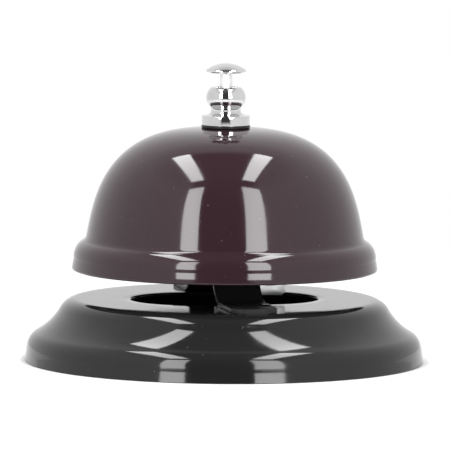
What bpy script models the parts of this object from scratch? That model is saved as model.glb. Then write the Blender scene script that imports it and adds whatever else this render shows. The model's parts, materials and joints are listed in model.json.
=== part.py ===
"""Service bell: a desk call bell that rings when its cap is pressed.

Frame: origin at the middle of the base's underside, +Z up. The slot in the base and the
striker lie along X, and the bridge that carries them stands across the slot along Y.
The plunger slides down Z. The striker turns about the pivot pin, parallel to Y.
"""

import math

import bmesh
import bpy
from mathutils import Matrix, Vector

MM = 0.001
MERGE_DISTANCE = 0.00001
ROUND_SEGMENTS = 48
SMALL_SEGMENTS = 20
RIVET_SEGMENTS = 10
SMOOTH_ANGLE = math.radians(35)
REST_GAP = 0.25 * MM

# Base stamping: rim, then shoulder, cove and crown arcs up to a flat top with a slot.
BASE_RADIUS = 42.5 * MM
RIM_RADIUS = 42.1 * MM
RIM_BOTTOM = 0.3 * MM
RIM_FLARE_TOP = 2.0 * MM
SHOULDER_BOTTOM = 2.7 * MM
BASE_TOP = 13.3 * MM
BASE_SHEET = 0.8 * MM
SHOULDER_RADIUS = 4.0 * MM
COVE_RADIUS = 14.0 * MM
SHOULDER_END = math.radians(60)
COVE_END = math.radians(30)
BASE_INNER_START = 8.0 * MM
SLOT_LENGTH = 40.2 * MM
SLOT_WIDTH = 26.0 * MM

FOOT_RING_OUTER = 41.0 * MM
FOOT_RING_INNER = 38.6 * MM
FOOT_RING_HEIGHT = 2.2 * MM

# Bridge: a strap with long flat feet, coved legs and a flat top.
STRAP_SHEET = 1.0 * MM
STRAP_TOP = 24.0 * MM
STRAP_FOOT_TOP = BASE_TOP + REST_GAP + STRAP_SHEET
STRAP_HALF_WIDTH = 5.0 * MM
FOOT_END_Y = 31.3 * MM
FOOT_CORNER = 3.0 * MM
LEG_START_Y = 18.0 * MM
LEG_RADIUS = 7.0 * MM
BEND_RADIUS = 3.5 * MM
TONGUE_END_X = 10.7 * MM
TONGUE_HALF_WIDTH = 3.6 * MM
EAR_INNER_Y = 2.6 * MM
EAR_SHEET = 0.8 * MM
EAR_RADIUS = 1.7 * MM
BRIDGE_RIVET_X = 3.0 * MM
BRIDGE_RIVET_Y = 24.0 * MM
BRIDGE_RIVET_SHANK = 0.9 * MM
BRIDGE_RIVET_HEAD = 1.5 * MM
BRIDGE_RIVET_HEAD_HEIGHT = 0.25 * MM

# Hinge of the striker.
PIVOT_X = 9.0 * MM
PIVOT_Z = 18.0 * MM
PIN_RADIUS = 0.95 * MM
PIN_GROOVE_RADIUS = 0.7 * MM
PIN_HEAD_RADIUS = 1.6 * MM
PIN_HEAD_HEIGHT = 0.7 * MM
PIN_END_Y = 5.9 * MM
CLIP_SHEET = 0.5 * MM
HOLE_CLEARANCE = 0.2 * MM

# Post, its nuts and washers.
POST_RADIUS = 2.2 * MM
POST_TOP = 57.8 * MM
POST_BOTTOM = 19.4 * MM
POST_BORE = 1.6 * MM
POST_LOWER_BORE = 1.15 * MM
SPRING_SEAT_Z = 30.0 * MM
COLLAR_RADIUS = 4.4 * MM
COLLAR_HEIGHT = 1.1 * MM
FITTING_BORE = POST_RADIUS + 0.25 * MM
NUT_RADIUS = 4.5 * MM
LOCK_WASHER_RADIUS = 4.0 * MM
LOCK_WASHER_HEIGHT = 0.5 * MM
LOCK_NUT_HEIGHT = 2.2 * MM
SEAT_NUT_BOTTOM = 44.45 * MM
SEAT_NUT_HEIGHT = 3.1 * MM
SEAT_WASHER_RADIUS = 5.0 * MM
SEAT_WASHER_HEIGHT = 0.7 * MM

# Bell: a tapered superellipse dome, then a fillet, a shoulder, a band and a flared lip.
BELL_TOP = 49.8 * MM
BELL_BOTTOM = 19.6 * MM
BELL_RADIUS = 32.6 * MM
BELL_BAND_RADIUS = 32.2 * MM
BELL_LIP_TOP = 21.9 * MM
BELL_NECK_RADIUS = 29.5 * MM
BELL_NECK_Z = 26.7 * MM
BELL_EXPONENT = 3.0
BELL_TAPER = 4.2 * MM
BELL_SHEET = 0.9 * MM
BELL_HOLE = 2.7 * MM
BELL_FILLET = 1.6 * MM
BELL_FLARE = math.radians(60)

CROWN_WASHER_RADIUS = 5.2 * MM
CROWN_WASHER_HEIGHT = 0.4 * MM

# Ferrule: a skirt, a cove up to the neck, and a flattened ball with its top cut off.
FERRULE_BOTTOM = 50.75 * MM
FERRULE_TOP = 58.4 * MM
FERRULE_SKIRT_RADIUS = 5.1 * MM
FERRULE_SKIRT_TOP = 52.4 * MM
FERRULE_NECK_RADIUS = 3.15 * MM
FERRULE_NECK_Z = 53.3 * MM
FERRULE_BALL_RADIUS = 4.2 * MM
FERRULE_BALL_HALF_HEIGHT = 3.3 * MM
FERRULE_BALL_Z = 56.2 * MM

# Plunger: cap, stepped rod and E-clip.
CAP_RADIUS = 4.26 * MM
CAP_TOP = 63.5 * MM
CAP_EDGE_Z = 62.05 * MM
CAP_BOTTOM = 61.55 * MM
CAP_SOCKET_RADIUS = 1.5 * MM
CAP_SOCKET_TOP = 62.8 * MM
STEM_RADIUS = 1.3 * MM
STEM_TOP = 62.5 * MM
STEM_BOTTOM = 44.0 * MM
ROD_RADIUS = 0.9 * MM
ROD_TIP_RADIUS = 0.5 * MM
ROD_TIP_Z = 15.4 * MM
ROD_GROOVE_RADIUS = 0.65 * MM
CLIP_GROOVE_TOP = 19.2 * MM
CLIP_GROOVE_BOTTOM = 18.5 * MM
CLIP_TOP = 19.1 * MM
CLIP_INNER_PLAY = 0.1 * MM
CLIP_OUTER_RADIUS = 2.0 * MM
CLIP_OPENING = math.radians(50)

SPRING_WIRE = 0.2 * MM
SPRING_RADIUS = 1.25 * MM
SPRING_BOTTOM = SPRING_SEAT_Z + 0.3 * MM
SPRING_TOP = STEM_BOTTOM - 0.3 * MM
SPRING_TURNS = 9
SPRING_POINTS_A_TURN = 10
SPRING_END_PITCH = 0.46 * MM

# Striker: a channel lever, a leaf that is riveted to it, and the hammer.
LEVER_LEFT = -1.2 * MM
LEVER_RIGHT = 12.2 * MM
LEVER_CHAMFER = 0.6 * MM
LEVER_BOTTOM = 14.3 * MM
LEVER_SHEET = 0.8 * MM
LEVER_LOW_CHEEK = 17.2 * MM
LEVER_EYE_RADIUS = 1.9 * MM
LEVER_HALF_WIDTH = 4.6 * MM
ARM_SHEET = 0.5 * MM
ARM_HALF_WIDTH = 2.2 * MM
ARM_LEFT = 3.0 * MM
ARM_LOW_Z = LEVER_BOTTOM + LEVER_SHEET + REST_GAP + ARM_SHEET
ARM_HIGH_Z = 19.2 * MM
ARM_RAMP_START = 10.4 * MM
ARM_RAMP_END = 11.7 * MM
ARM_TAB_X = 23.3 * MM
ARM_TAB_TOP = 22.6 * MM
ARM_RIVET_SPOTS = {"arm_rivet_inner": 4.4 * MM, "arm_rivet_outer": 6.8 * MM}
ARM_RIVET_SHANK = 0.55 * MM
ARM_RIVET_HEAD = 1.0 * MM
ARM_RIVET_HEAD_HEIGHT = 0.45 * MM
HAMMER_Z = 20.8 * MM
HAMMER_RADIUS = 2.1 * MM
HAMMER_INNER_X = 23.85 * MM
HAMMER_OUTER_X = 29.4 * MM
HAMMER_EDGE = 0.4 * MM
HAMMER_SHANK_RADIUS = 0.9 * MM
HAMMER_PEEN_RADIUS = 1.4 * MM
HAMMER_PEEN_X = 22.3 * MM
HAMMER_PEEN_HEIGHT = 0.45 * MM

LONG_CUT = 60.0 * MM
ALONG_X = Matrix.Rotation(math.radians(90), 4, "Y")
ALONG_Y = Matrix.Rotation(math.radians(90), 4, "X")


# Scene, collections and materials

def clear_scene():
    for item in list(bpy.data.objects):
        bpy.data.objects.remove(item)


def new_collection(name):
    collection = bpy.data.collections.new(name)
    bpy.context.scene.collection.children.link(collection)
    return collection


def material(name, colour, roughness, metallic):
    surface = bpy.data.materials.new(name)
    surface.use_nodes = True
    shader = surface.node_tree.nodes["Principled BSDF"]
    shader.inputs["Base Color"].default_value = (*colour, 1.0)
    shader.inputs["Roughness"].default_value = roughness
    shader.inputs["Metallic"].default_value = metallic
    return surface


def bell_enamel():
    return material("bell_enamel", (0.035, 0.012, 0.020), 0.12, 0.0)


def black_enamel():
    return material("black_enamel", (0.008, 0.008, 0.009), 0.15, 0.0)


def chrome():
    return material("chrome", (0.80, 0.80, 0.81), 0.06, 1.0)


def zinc_plate():
    return material("zinc_plate", (0.62, 0.63, 0.64), 0.30, 1.0)


def spring_steel():
    return material("spring_steel", (0.30, 0.31, 0.34), 0.35, 1.0)


def black_rubber():
    return material("black_rubber", (0.015, 0.015, 0.015), 0.80, 0.0)


def grey_fibre():
    return material("grey_fibre", (0.12, 0.11, 0.10), 0.75, 0.0)


# Shape helpers

def arc(centre, radius, start, end, steps):
    """Points of an arc. Angles are in radians from the first axis."""
    points = []
    for step in range(steps + 1):
        angle = start + (end - start) * step / steps
        points.append((centre[0] + radius * math.cos(angle), centre[1] + radius * math.sin(angle)))
    return points


def add_object(name, mesh, surface, collection):
    item = bpy.data.objects.new(name, mesh)
    if surface:
        mesh.materials.clear()
        mesh.materials.append(surface)
    collection.objects.link(item)
    return item


def shade_round(item):
    item.data.shade_smooth()
    item.data.set_sharp_from_angle(angle=SMOOTH_ANGLE)


def turned(name, outline, closed, surface, collection, segments=SMALL_SEGMENTS):
    """Turn an outline of (radius, height) points, outer side first and from the top down."""
    mesh = bpy.data.meshes.new(name)
    edges = [(index, index + 1) for index in range(len(outline) - 1)]
    if closed:
        edges.append((len(outline) - 1, 0))
    mesh.from_pydata([(radius, 0.0, height) for radius, height in outline], edges, [])
    item = add_object(name, mesh, surface, collection)
    screw = item.modifiers.new("turn", "SCREW")
    screw.axis = "Z"
    screw.angle = math.tau
    screw.steps = segments
    screw.render_steps = segments
    screw.use_merge_vertices = True
    screw.merge_threshold = MERGE_DISTANCE
    screw.use_smooth_shade = True
    return item


def solidify(item, thickness, side=-1.0):
    sheet = item.modifiers.new("sheet", "SOLIDIFY")
    sheet.thickness = thickness
    sheet.offset = side
    sheet.use_even_offset = True


def plate(name, outline, low, high, surface, collection, turn=None):
    """Extrude a flat outline from low to high along local Z, then turn it into place."""
    curve = bpy.data.curves.new(name, "CURVE")
    curve.dimensions = "2D"
    curve.fill_mode = "BOTH"
    curve.extrude = (high - low) / 2
    spline = curve.splines.new("POLY")
    spline.points.add(len(outline) - 1)
    for point, (across, along) in zip(spline.points, outline):
        point.co = (across, along, 0.0, 1.0)
    spline.use_cyclic_u = True
    guide = bpy.data.objects.new(name, curve)
    collection.objects.link(guide)
    bpy.context.view_layer.update()
    evaluated = guide.evaluated_get(bpy.context.evaluated_depsgraph_get())
    mesh = bpy.data.meshes.new_from_object(evaluated)
    bpy.data.objects.remove(guide)
    weld_caps(mesh)
    item = add_object(name, mesh, surface, collection)
    lift = Matrix.Translation((0.0, 0.0, (low + high) / 2))
    item.matrix_world = (turn or Matrix.Identity(4)) @ lift
    return item


def weld_caps(mesh):
    shape = bmesh.new()
    shape.from_mesh(mesh)
    bmesh.ops.remove_doubles(shape, verts=shape.verts, dist=MERGE_DISTANCE)
    bmesh.ops.recalc_face_normals(shape, faces=shape.faces)
    shape.to_mesh(mesh)
    shape.free()


def bent_sheet(name, path, half_width, thickness, along, surface, collection):
    """A strip of sheet that follows path, whose points are (distance, height) along X or Y.

    The path is the upper side of the sheet.
    """
    across = Vector((0.0, 1.0, 0.0)) if along == "X" else Vector((-1.0, 0.0, 0.0))
    shape = bmesh.new()
    corners = []
    for distance, height in path:
        place = Vector((distance, 0.0, height)) if along == "X" else Vector((0.0, distance, height))
        corners.append(shape.verts.new(place - across * half_width))
    edges = [shape.edges.new(pair) for pair in zip(corners, corners[1:])]
    swept = bmesh.ops.extrude_edge_only(shape, edges=edges)
    moved = [part for part in swept["geom"] if isinstance(part, bmesh.types.BMVert)]
    bmesh.ops.translate(shape, vec=across * half_width * 2, verts=moved)
    bmesh.ops.recalc_face_normals(shape, faces=shape.faces)
    if sum(face.normal.z for face in shape.faces) < 0:
        bmesh.ops.reverse_faces(shape, faces=shape.faces)
    mesh = bpy.data.meshes.new(name)
    shape.to_mesh(mesh)
    shape.free()
    item = add_object(name, mesh, surface, collection)
    solidify(item, thickness)
    return item


def round_cutter(name, radius, centre, turn, cutters):
    shape = bmesh.new()
    bmesh.ops.create_cone(shape, cap_ends=True, segments=SMALL_SEGMENTS,
                          radius1=radius, radius2=radius, depth=LONG_CUT)
    mesh = bpy.data.meshes.new(name)
    shape.to_mesh(mesh)
    shape.free()
    item = add_object(name, mesh, None, cutters)
    item.matrix_world = Matrix.Translation(centre) @ turn
    return hide_cutter(item)


def box_cutter(name, low, high, cutters):
    size = Vector(high) - Vector(low)
    middle = (Vector(high) + Vector(low)) / 2
    shape = bmesh.new()
    bmesh.ops.create_cube(shape, size=1.0, matrix=Matrix.Diagonal((*size, 1.0)))
    mesh = bpy.data.meshes.new(name)
    shape.to_mesh(mesh)
    shape.free()
    item = add_object(name, mesh, None, cutters)
    item.location = middle
    return hide_cutter(item)


def hide_cutter(item):
    item.hide_render = True
    item.display_type = "WIRE"
    return item


def join_or_cut(item, tool, operation):
    change = item.modifiers.new(tool.name, "BOOLEAN")
    change.operation = operation
    change.solver = "EXACT"
    change.object = tool


def drill(item, name, radius, centre, turn, cutters):
    join_or_cut(item, round_cutter(name, radius, centre, turn, cutters), "DIFFERENCE")


# Base

def base_outline():
    """Outer side of the stamping: three arcs, each tangent to the next, then the rim."""
    crown_rise = 1.0 - math.sin(COVE_END)
    shoulder_rise = SHOULDER_RADIUS * math.sin(SHOULDER_END)
    cove_rise = COVE_RADIUS * (math.sin(SHOULDER_END) - math.sin(COVE_END))
    crown_radius = (BASE_TOP - SHOULDER_BOTTOM - shoulder_rise - cove_rise) / crown_rise
    shoulder = (RIM_RADIUS - SHOULDER_RADIUS, SHOULDER_BOTTOM)
    reach = SHOULDER_RADIUS + COVE_RADIUS
    cove = (shoulder[0] + reach * math.cos(SHOULDER_END), shoulder[1] + reach * math.sin(SHOULDER_END))
    reach = COVE_RADIUS + crown_radius
    crown = (cove[0] - reach * math.cos(COVE_END), cove[1] - reach * math.sin(COVE_END))
    quarter = math.pi / 2
    outline = [(BASE_INNER_START, BASE_TOP)]
    outline += arc(crown, crown_radius, quarter, COVE_END, 4)
    outline += arc(cove, COVE_RADIUS, math.pi + COVE_END, math.pi + SHOULDER_END, 3)[1:]
    outline += arc(shoulder, SHOULDER_RADIUS, SHOULDER_END, 0.0, 4)[1:]
    outline += [(RIM_RADIUS, RIM_FLARE_TOP), (BASE_RADIUS, RIM_BOTTOM)]
    return outline


def slot_outline():
    radius = SLOT_WIDTH / 2
    offset = SLOT_LENGTH / 2 - radius
    quarter = math.pi / 2
    steps = SMALL_SEGMENTS // 2
    return (arc((offset, 0.0), radius, -quarter, quarter, steps)
            + arc((-offset, 0.0), radius, quarter, 3 * quarter, steps))


def build_base(parts, cutters):
    base = turned("base_shell", base_outline(), False, black_enamel(), parts, ROUND_SEGMENTS)
    solidify(base, BASE_SHEET)
    slot = plate("slot_cutter", slot_outline(), 0.0, LONG_CUT, None, cutters)
    join_or_cut(base, hide_cutter(slot), "DIFFERENCE")
    for name, (x, y) in bridge_rivet_spots().items():
        hole = BRIDGE_RIVET_SHANK + HOLE_CLEARANCE
        drill(base, name + "_base_hole", hole, (x, y, 0.0), Matrix.Identity(4), cutters)


def build_foot_ring(parts):
    outline = [(FOOT_RING_OUTER, FOOT_RING_HEIGHT), (FOOT_RING_OUTER, 0.0),
               (FOOT_RING_INNER, 0.0), (FOOT_RING_INNER, FOOT_RING_HEIGHT)]
    turned("foot_ring", outline, True, black_rubber(), parts, ROUND_SEGMENTS)


# Bridge

def strap_path():
    """Upper side of the strap: flat foot, coved leg, bend, and the flat top, front to rear."""
    rise = STRAP_TOP - STRAP_FOOT_TOP
    steep = math.acos(1.0 - rise / (LEG_RADIUS + BEND_RADIUS))
    leg = arc((-LEG_START_Y, STRAP_FOOT_TOP + LEG_RADIUS), LEG_RADIUS,
              -math.pi / 2, steep - math.pi / 2, 10)
    bend_y = leg[-1][0] + BEND_RADIUS * math.sin(steep)
    bend = arc((bend_y, STRAP_TOP - BEND_RADIUS), BEND_RADIUS,
               math.pi / 2 + steep, math.pi / 2, 6)[1:]
    past_foot = FOOT_END_Y + STRAP_SHEET
    half = [(-past_foot, STRAP_FOOT_TOP)] + leg + bend
    return half + [(-y, z) for y, z in reversed(half)]


def strap_plan():
    """Outline from above: a straight strap with rounded corners, and the hinge tongue."""
    x = STRAP_HALF_WIDTH - FOOT_CORNER
    y = FOOT_END_Y - FOOT_CORNER
    rear = arc((x, y), FOOT_CORNER, 0.0, math.pi / 2, 5)
    rear += arc((-x, y), FOOT_CORNER, math.pi / 2, math.pi, 5)
    front = [(-x, -y) for x, y in rear]
    tongue = [(STRAP_HALF_WIDTH, -TONGUE_HALF_WIDTH), (TONGUE_END_X, -TONGUE_HALF_WIDTH),
              (TONGUE_END_X, TONGUE_HALF_WIDTH), (STRAP_HALF_WIDTH, TONGUE_HALF_WIDTH)]
    return rear + front + tongue


def ear_outline():
    top = STRAP_TOP - STRAP_SHEET / 2
    lobe = arc((PIVOT_X, PIVOT_Z), EAR_RADIUS, math.pi, math.tau, 10)
    return lobe + [(PIVOT_X + EAR_RADIUS, top), (PIVOT_X - EAR_RADIUS, top)]


def bridge_rivet_spots():
    spots = {}
    for end, y in (("front", -BRIDGE_RIVET_Y), ("rear", BRIDGE_RIVET_Y)):
        for side, x in (("left", -BRIDGE_RIVET_X), ("right", BRIDGE_RIVET_X)):
            spots["bridge_rivet_" + end + "_" + side] = (x, y)
    return spots


def build_bridge(parts, cutters):
    half_width = TONGUE_END_X + STRAP_SHEET
    bridge = bent_sheet("bridge_bracket", strap_path(), half_width, STRAP_SHEET, "Y",
                        black_enamel(), parts)
    plan = plate("strap_plan_cutter", strap_plan(), 0.0, LONG_CUT, None, cutters)
    join_or_cut(bridge, hide_cutter(plan), "INTERSECT")
    for side, sign in (("front", -1.0), ("rear", 1.0)):
        edges = sorted((sign * EAR_INNER_Y, sign * (EAR_INNER_Y + EAR_SHEET)))
        ear = plate("ear_" + side, ear_outline(), -edges[1], -edges[0], None, cutters, ALONG_Y)
        join_or_cut(bridge, hide_cutter(ear), "UNION")
    drill(bridge, "post_hole", FITTING_BORE, (0.0, 0.0, 0.0), Matrix.Identity(4), cutters)
    drill(bridge, "ear_hole", PIN_RADIUS + HOLE_CLEARANCE, (PIVOT_X, 0.0, PIVOT_Z), ALONG_Y, cutters)
    for name, (x, y) in bridge_rivet_spots().items():
        hole = BRIDGE_RIVET_SHANK + HOLE_CLEARANCE
        drill(bridge, name + "_strap_hole", hole, (x, y, 0.0), Matrix.Identity(4), cutters)


def rivet_outline(shank, head, head_height, upper, lower):
    """A rivet with a head above upper and a tail of the same size below lower."""
    return [(0.0, upper + head_height), (head * 0.6, upper + head_height * 0.9), (head, upper),
            (shank, upper), (shank, lower), (head, lower), (head * 0.8, lower - head_height),
            (0.0, lower - head_height)]


def build_bridge_rivets(parts):
    outline = rivet_outline(BRIDGE_RIVET_SHANK, BRIDGE_RIVET_HEAD, BRIDGE_RIVET_HEAD_HEIGHT,
                            STRAP_FOOT_TOP + REST_GAP, BASE_TOP - BASE_SHEET - REST_GAP)
    for name, (x, y) in bridge_rivet_spots().items():
        rivet = turned(name, outline, False, black_enamel(), parts, RIVET_SEGMENTS)
        rivet.location = (x, y, 0.0)


# Post and what is threaded on it

def build_post(parts):
    collar_bottom = STRAP_TOP + REST_GAP
    outline = [(POST_RADIUS, POST_TOP), (POST_RADIUS, collar_bottom + COLLAR_HEIGHT),
               (COLLAR_RADIUS, collar_bottom + COLLAR_HEIGHT), (COLLAR_RADIUS, collar_bottom),
               (POST_RADIUS, collar_bottom), (POST_RADIUS, POST_BOTTOM),
               (POST_LOWER_BORE, POST_BOTTOM), (POST_LOWER_BORE, SPRING_SEAT_Z),
               (POST_BORE, SPRING_SEAT_Z), (POST_BORE, POST_TOP)]
    turned("centre_post", outline, True, zinc_plate(), parts)


def washer(name, radius, bottom, height, surface, parts):
    outline = [(radius, bottom + height), (radius, bottom),
               (FITTING_BORE, bottom), (FITTING_BORE, bottom + height)]
    turned(name, outline, True, surface, parts)


def hex_nut(name, bottom, height, parts, cutters):
    hexagon = arc((0.0, 0.0), NUT_RADIUS, 0.0, math.tau, 6)[:-1]
    nut = plate(name, hexagon, bottom, bottom + height, zinc_plate(), parts)
    drill(nut, name + "_bore", FITTING_BORE, (0.0, 0.0, bottom), Matrix.Identity(4), cutters)


def build_post_fittings(parts, cutters):
    washer_bottom = STRAP_TOP - STRAP_SHEET - REST_GAP - LOCK_WASHER_HEIGHT
    washer("post_lock_washer", LOCK_WASHER_RADIUS, washer_bottom, LOCK_WASHER_HEIGHT,
           spring_steel(), parts)
    nut_bottom = washer_bottom - REST_GAP - LOCK_NUT_HEIGHT
    hex_nut("post_lock_nut", nut_bottom, LOCK_NUT_HEIGHT, parts, cutters)
    hex_nut("seat_nut", SEAT_NUT_BOTTOM, SEAT_NUT_HEIGHT, parts, cutters)
    washer("seat_washer", SEAT_WASHER_RADIUS, SEAT_NUT_BOTTOM + SEAT_NUT_HEIGHT + REST_GAP,
           SEAT_WASHER_HEIGHT, grey_fibre(), parts)
    washer("crown_washer", CROWN_WASHER_RADIUS, BELL_TOP + REST_GAP, CROWN_WASHER_HEIGHT,
           black_rubber(), parts)


# Bell and ferrule

def bell_outline():
    """Outer side of the bell: tapered superellipse dome, fillet, shoulder, band and lip."""
    height = BELL_TOP - BELL_NECK_Z
    power = 2.0 / BELL_EXPONENT
    crown_radius = BELL_NECK_RADIUS - BELL_TAPER
    start = math.acos((BELL_HOLE / crown_radius) ** (1.0 / power))
    steps = 12
    outline = []
    for step in range(steps + 1):
        angle = start * (1.0 - step / steps)
        rise = math.sin(angle) ** power
        outline.append(((BELL_NECK_RADIUS - BELL_TAPER * rise) * math.cos(angle) ** power,
                        BELL_NECK_Z + height * rise))
    lean = math.atan(BELL_TAPER / height)
    fillet = (BELL_NECK_RADIUS + BELL_FILLET * math.cos(lean),
              BELL_NECK_Z + BELL_FILLET * math.sin(lean))
    outline += arc(fillet, BELL_FILLET, math.pi + lean, math.pi + BELL_FLARE, 3)[1:]
    flare_radius, flare_z = outline[-1]
    shoulder_radius = (BELL_BAND_RADIUS - flare_radius) / (1.0 - math.cos(BELL_FLARE))
    shoulder = (BELL_BAND_RADIUS - shoulder_radius,
                flare_z - shoulder_radius * math.sin(BELL_FLARE))
    outline += arc(shoulder, shoulder_radius, BELL_FLARE, 0.0, 4)[1:]
    outline += [(BELL_BAND_RADIUS, BELL_LIP_TOP), (BELL_RADIUS, BELL_BOTTOM)]
    return outline


def build_bell(parts):
    bell = turned("bell", bell_outline(), False, bell_enamel(), parts, ROUND_SEGMENTS)
    solidify(bell, BELL_SHEET)


def ferrule_outline():
    cut = math.asin((FERRULE_TOP - FERRULE_BALL_Z) / FERRULE_BALL_HALF_HEIGHT)
    foot = -math.acos(FERRULE_NECK_RADIUS / FERRULE_BALL_RADIUS)
    ball_steps = 7
    outline = [(FITTING_BORE, FERRULE_TOP)]
    for step in range(ball_steps + 1):
        angle = cut + (foot - cut) * step / ball_steps
        outline.append((FERRULE_BALL_RADIUS * math.cos(angle),
                        FERRULE_BALL_Z + FERRULE_BALL_HALF_HEIGHT * math.sin(angle)))
    flare = FERRULE_SKIRT_RADIUS - FERRULE_NECK_RADIUS
    drop = FERRULE_NECK_Z - FERRULE_SKIRT_TOP
    cove_steps = 4
    for step in range(cove_steps + 1):
        angle = math.pi / 2 * step / cove_steps
        outline.append((FERRULE_NECK_RADIUS + flare * (1.0 - math.cos(angle)),
                        FERRULE_NECK_Z - drop * math.sin(angle)))
    outline += [(FERRULE_SKIRT_RADIUS, FERRULE_BOTTOM), (FITTING_BORE, FERRULE_BOTTOM)]
    return outline


def build_ferrule(parts):
    turned("crown_ferrule", ferrule_outline(), True, chrome(), parts)


# Plunger

def build_cap(parts):
    """A spherical dome over a thin edge, with a socket for the stem."""
    rise = CAP_TOP - CAP_EDGE_Z
    sphere = (CAP_RADIUS ** 2 + rise ** 2) / (2.0 * rise)
    reach = math.asin(CAP_RADIUS / sphere)
    outline = arc((0.0, CAP_TOP - sphere), sphere, math.pi / 2, math.pi / 2 - reach, 5)
    lip = (CAP_EDGE_Z - CAP_BOTTOM) / 2
    outline += [(CAP_RADIUS, CAP_BOTTOM + lip), (CAP_RADIUS - lip, CAP_BOTTOM),
                (CAP_SOCKET_RADIUS, CAP_BOTTOM), (CAP_SOCKET_RADIUS, CAP_SOCKET_TOP),
                (0.0, CAP_SOCKET_TOP)]
    return turned("button_cap", outline, False, chrome(), parts)


def build_rod(parts):
    outline = [(0.0, STEM_TOP), (STEM_RADIUS, STEM_TOP), (STEM_RADIUS, STEM_BOTTOM),
               (ROD_RADIUS, STEM_BOTTOM), (ROD_RADIUS, CLIP_GROOVE_TOP),
               (ROD_GROOVE_RADIUS, CLIP_GROOVE_TOP), (ROD_GROOVE_RADIUS, CLIP_GROOVE_BOTTOM),
               (ROD_RADIUS, CLIP_GROOVE_BOTTOM),
               (ROD_RADIUS, ROD_TIP_Z + ROD_RADIUS - ROD_TIP_RADIUS),
               (ROD_TIP_RADIUS, ROD_TIP_Z), (0.0, ROD_TIP_Z)]
    return turned("plunger_rod", outline, False, zinc_plate(), parts)


def clip_outline(inner_radius):
    """An open ring whose gap faces -X."""
    start = -math.pi + CLIP_OPENING
    end = math.pi - CLIP_OPENING
    outer = arc((0.0, 0.0), CLIP_OUTER_RADIUS, start, end, 16)
    inner = arc((0.0, 0.0), inner_radius, end, start, 16)
    return outer + inner


def build_plunger_clip(parts):
    outline = clip_outline(ROD_GROOVE_RADIUS + CLIP_INNER_PLAY)
    return plate("plunger_clip", outline, CLIP_TOP - CLIP_SHEET, CLIP_TOP, spring_steel(), parts)


def spring_height(turn):
    """Height of the wire's centre: close end turns, and even turns between them."""
    low = SPRING_BOTTOM + SPRING_WIRE
    high = SPRING_TOP - SPRING_WIRE
    if turn <= 1.0:
        return low + SPRING_END_PITCH * turn
    if turn >= SPRING_TURNS - 1.0:
        return high - SPRING_END_PITCH * (SPRING_TURNS - turn)
    share = (turn - 1.0) / (SPRING_TURNS - 2.0)
    return low + SPRING_END_PITCH + (high - low - 2.0 * SPRING_END_PITCH) * share


def build_spring(parts):
    curve = bpy.data.curves.new("return_spring", "CURVE")
    curve.dimensions = "3D"
    curve.bevel_depth = SPRING_WIRE
    curve.bevel_resolution = 2
    curve.use_fill_caps = True
    count = SPRING_TURNS * SPRING_POINTS_A_TURN + 1
    spline = curve.splines.new("POLY")
    spline.points.add(count - 1)
    for index, point in enumerate(spline.points):
        turn = index / SPRING_POINTS_A_TURN
        angle = math.tau * turn
        point.co = (SPRING_RADIUS * math.cos(angle), SPRING_RADIUS * math.sin(angle),
                    spring_height(turn), 1.0)
    curve.materials.append(spring_steel())
    parts.objects.link(bpy.data.objects.new("return_spring", curve))


# Hinge

def build_pin(parts):
    """The pin is turned upright, then laid along Y with its head at the front."""
    head_bottom = LEVER_HALF_WIDTH + REST_GAP
    groove_near = -(LEVER_HALF_WIDTH + REST_GAP)
    groove_far = groove_near - CLIP_SHEET - 2.0 * CLIP_INNER_PLAY
    head_top = head_bottom + PIN_HEAD_HEIGHT
    outline = [(0.0, head_top), (PIN_HEAD_RADIUS, head_top), (PIN_HEAD_RADIUS, head_bottom),
               (PIN_RADIUS, head_bottom), (PIN_RADIUS, groove_near),
               (PIN_GROOVE_RADIUS, groove_near), (PIN_GROOVE_RADIUS, groove_far),
               (PIN_RADIUS, groove_far), (PIN_RADIUS, -PIN_END_Y), (0.0, -PIN_END_Y)]
    pin = turned("pivot_pin", outline, False, zinc_plate(), parts)
    pin.matrix_world = Matrix.Translation((PIVOT_X, 0.0, PIVOT_Z)) @ ALONG_Y


def build_pin_clip(parts):
    near = LEVER_HALF_WIDTH + REST_GAP + CLIP_INNER_PLAY
    turn = Matrix.Translation((PIVOT_X, 0.0, PIVOT_Z)) @ ALONG_Y
    outline = clip_outline(PIN_GROOVE_RADIUS + CLIP_INNER_PLAY)
    plate("pivot_clip", outline, -near - CLIP_SHEET, -near, spring_steel(), parts, turn)


# Striker

def cheek_outline():
    """Side of the lever: low towards the plunger, an eye round the pin, a chamfered end."""
    eye = arc((PIVOT_X, PIVOT_Z), LEVER_EYE_RADIUS, 0.0, math.pi, 10)
    return ([(LEVER_LEFT, LEVER_BOTTOM), (LEVER_RIGHT - LEVER_CHAMFER, LEVER_BOTTOM),
             (LEVER_RIGHT, LEVER_BOTTOM + LEVER_CHAMFER), (LEVER_RIGHT, PIVOT_Z)]
            + eye + [(PIVOT_X - LEVER_EYE_RADIUS, LEVER_LOW_CHEEK), (LEVER_LEFT, LEVER_LOW_CHEEK)])


def build_lever(parts, cutters):
    lever = plate("striker_lever", cheek_outline(), -LEVER_HALF_WIDTH, LEVER_HALF_WIDTH,
                  zinc_plate(), parts, ALONG_Y)
    inside = LEVER_HALF_WIDTH - LEVER_SHEET
    channel = box_cutter("lever_channel", (-LONG_CUT, -inside, LEVER_BOTTOM + LEVER_SHEET),
                         (LONG_CUT, inside, LONG_CUT), cutters)
    join_or_cut(lever, channel, "DIFFERENCE")
    drill(lever, "lever_eye", PIN_RADIUS + HOLE_CLEARANCE, (PIVOT_X, 0.0, PIVOT_Z), ALONG_Y, cutters)
    drill_arm_rivet_holes(lever, cutters)
    return lever


def drill_arm_rivet_holes(item, cutters):
    for name, x in ARM_RIVET_SPOTS.items():
        drill(item, name + "_hole_in_" + item.name, ARM_RIVET_SHANK + HOLE_CLEARANCE,
              (x, 0.0, 0.0), Matrix.Identity(4), cutters)


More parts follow.
